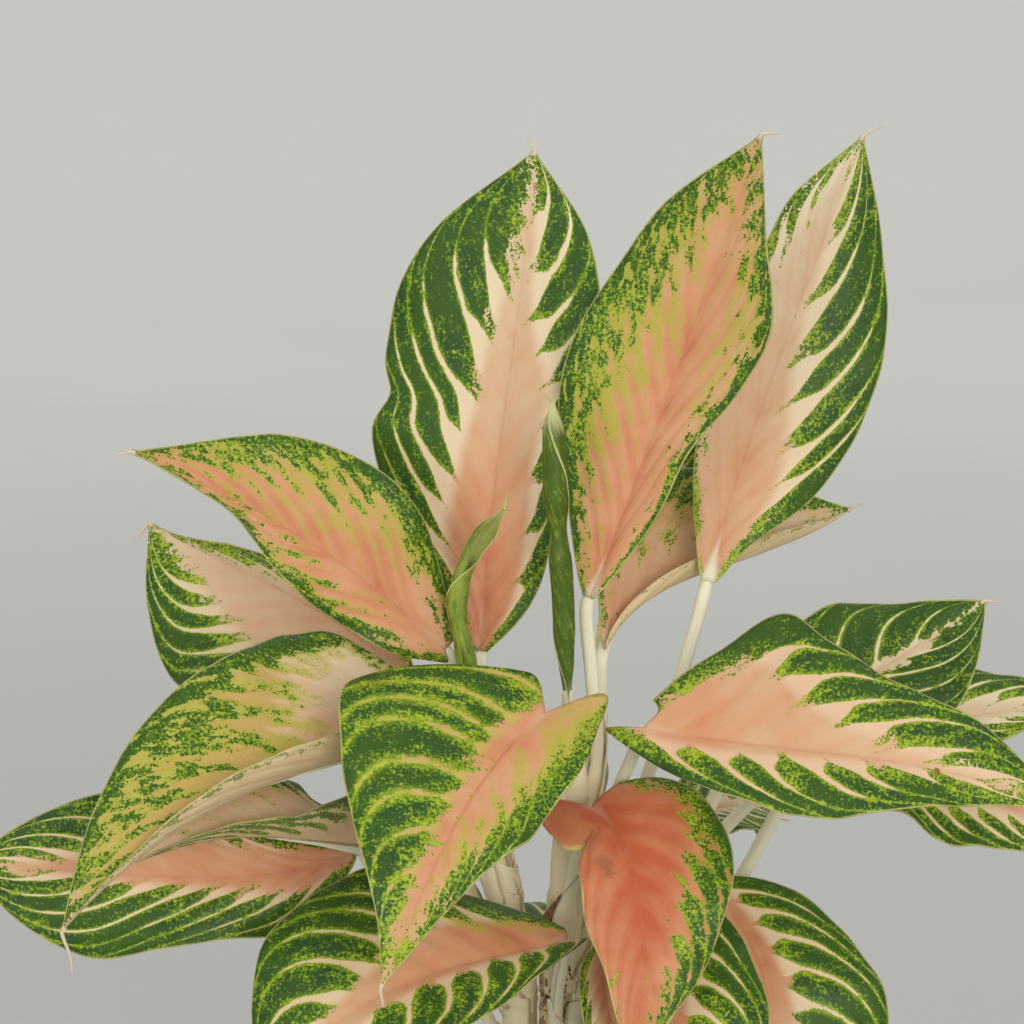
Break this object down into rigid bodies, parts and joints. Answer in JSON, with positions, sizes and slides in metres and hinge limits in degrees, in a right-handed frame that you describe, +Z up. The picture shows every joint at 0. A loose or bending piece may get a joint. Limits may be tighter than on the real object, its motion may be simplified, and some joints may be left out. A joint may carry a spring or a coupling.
{
  "type": "potted chinese evergreen",
  "caption": "Leafy house plant with pink, cream and green patterned leaves on pale stalks, in a plain round pot that stands on a flat surface.",
  "frame": {"origin": "middle of the pot's underside, on the surface that the pot stands on", "axes": "+Z up along the pot's axis, -Y towards the plant's front as pictured, +X to the right of that view"},
  "size_m": [0.4945, 0.317, 0.5513],
  "materials": {
    "pot_glaze": "warm white glaze, softly glossy",
    "potting_soil": "dark crumbly potting soil, matte",
    "stalks": "cream to pale green stalk skin, satin",
    "leaf_dark": "dark green leaf with cream veins, satin",
    "leaf_lime": "lime leaf mottled with pink and green, satin",
    "leaf_pink": "pink and cream leaf with green margin, satin",
    "leaf_red": "salmon red leaf with green mottling, satin",
    "young_leaf": "rolled young leaf, green, satin"
  },
  "bodies": {
    "root": {"pot": "pot_glaze", "soil": "potting_soil", "stems_centre": "stalks", "stems_left": "stalks", "stems_right": "stalks", "young_leaf_centre": "young_leaf", "young_leaf_left": "young_leaf", "leaf_top_left": "leaf_dark", "leaf_top_centre": "leaf_lime", "leaf_top_right": "leaf_pink", "leaf_top_behind": "leaf_pink", "leaf_left_upper": "leaf_lime", "leaf_left_small": "leaf_pink", "leaf_left_arching": "leaf_lime", "leaf_left_folded": "leaf_pink", "leaf_left_lowest": "leaf_dark", "leaf_front_heart": "leaf_dark", "leaf_front_low_left": "leaf_dark", "leaf_front_red": "leaf_red", "leaf_right_large": "leaf_pink", "leaf_right_dark": "leaf_dark", "leaf_right_far": "leaf_pink", "leaf_right_under": "leaf_pink", "leaf_right_small": "leaf_dark", "leaf_low_right": "leaf_dark", "leaf_low_front": "leaf_dark", "leaf_low_narrow": "leaf_dark", "leaf_back_left": "leaf_dark", "leaf_back_far_left": "leaf_lime", "leaf_back_tall": "leaf_pink", "leaf_back_low_left": "leaf_dark", "leaf_back_low_right": "leaf_dark", "leaf_back_centre": "leaf_pink"}
  },
  "joints": []
}
